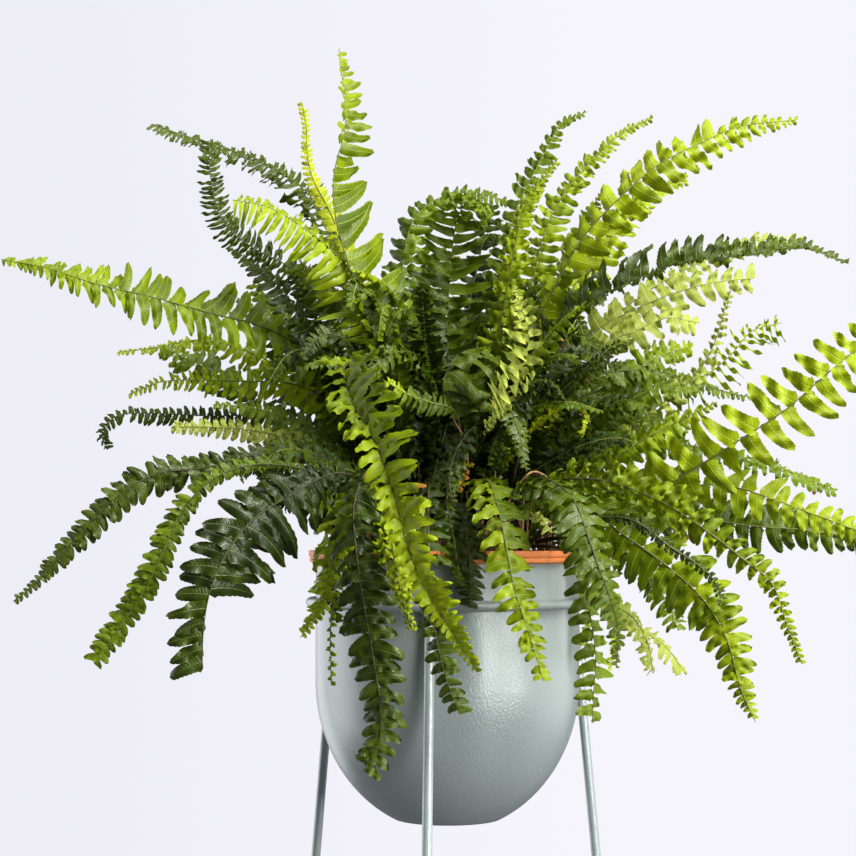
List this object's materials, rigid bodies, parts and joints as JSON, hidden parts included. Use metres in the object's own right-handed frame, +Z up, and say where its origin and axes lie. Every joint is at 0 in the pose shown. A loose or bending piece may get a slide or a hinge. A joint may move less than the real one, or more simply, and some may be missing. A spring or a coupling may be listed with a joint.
{
  "type": "potted fern",
  "caption": "Bushy fern in a plastic nursery pot, hung in a round-bottomed steel bowl on a stand with three thin splayed legs.",
  "frame": {"origin": "on the floor under the middle of the plant's box, a little in front of the pot's axis", "axes": "+Z up, the front of the picture looks towards -Y, +X to the right of the picture"},
  "size_m": [0.7374, 0.5504, 0.8713],
  "materials": {
    "coat": "satin powder coat, grey green",
    "plastic": "moulded terracotta plastic",
    "soil": "moist dark potting mix of bark and peat",
    "runner": "dry brown plant fibre",
    "leaf_bright": "living leaf, bright green, satin",
    "leaf_yellow": "young living leaf, yellow green, satin",
    "leaf_green": "living leaf, mid green, satin",
    "leaf_dark": "older living leaf, dark green, satin",
    "leaf_glossy": "older living leaf, greyish green with a soft shine",
    "leaf_pale": "living leaf, pale yellow green, satin"
  },
  "bodies": {
    "root": {"planter_bowl": "coat", "stand_ring": "coat", "stand_leg_1": "coat", "stand_leg_2": "coat", "stand_leg_3": "coat", "nursery_pot": "plastic", "runner": "runner", "frond_left_01": "leaf_bright", "frond_top_01": "leaf_bright", "frond_right_01": "leaf_bright", "frond_right_02": "leaf_bright", "frond_front_01": "leaf_bright", "frond_left_02": "leaf_glossy", "frond_right_03": "leaf_green", "frond_right_04": "leaf_dark", "frond_left_03": "leaf_glossy", "frond_left_04": "leaf_green", "frond_front_02": "leaf_bright", "frond_front_03": "leaf_dark", "frond_right_05": "leaf_glossy", "frond_back_01": "leaf_dark", "frond_back_02": "leaf_dark", "frond_left_05": "leaf_dark", "frond_left_06": "leaf_dark", "frond_left_07": "leaf_yellow", "frond_top_02": "leaf_yellow", "frond_top_03": "leaf_green", "frond_top_04": "leaf_yellow", "frond_right_06": "leaf_bright", "frond_right_07": "leaf_yellow", "frond_right_08": "leaf_pale", "frond_right_10": "leaf_green", "frond_right_11": "leaf_yellow", "frond_right_12": "leaf_yellow", "frond_right_13": "leaf_green", "frond_right_14": "leaf_dark", "frond_right_15": "leaf_bright", "frond_right_16": "leaf_pale", "frond_right_17": "leaf_dark", "frond_right_09": "leaf_dark", "frond_left_08": "leaf_pale", "frond_left_09": "leaf_bright", "frond_left_10": "leaf_dark", "frond_left_11": "leaf_yellow", "frond_front_04": "leaf_dark", "frond_front_05": "leaf_green", "frond_front_06": "leaf_yellow", "frond_front_07": "leaf_dark", "frond_front_08": "leaf_yellow", "frond_front_09": "leaf_glossy", "frond_front_10": "leaf_dark", "frond_front_11": "leaf_yellow", "frond_front_12": "leaf_yellow", "frond_back_03": "leaf_green", "frond_back_04": "leaf_dark", "frond_back_05": "leaf_dark", "frond_back_06": "leaf_bright", "frond_back_07": "leaf_green", "frond_back_08": "leaf_yellow", "soil": "soil"}
  },
  "joints": []
}
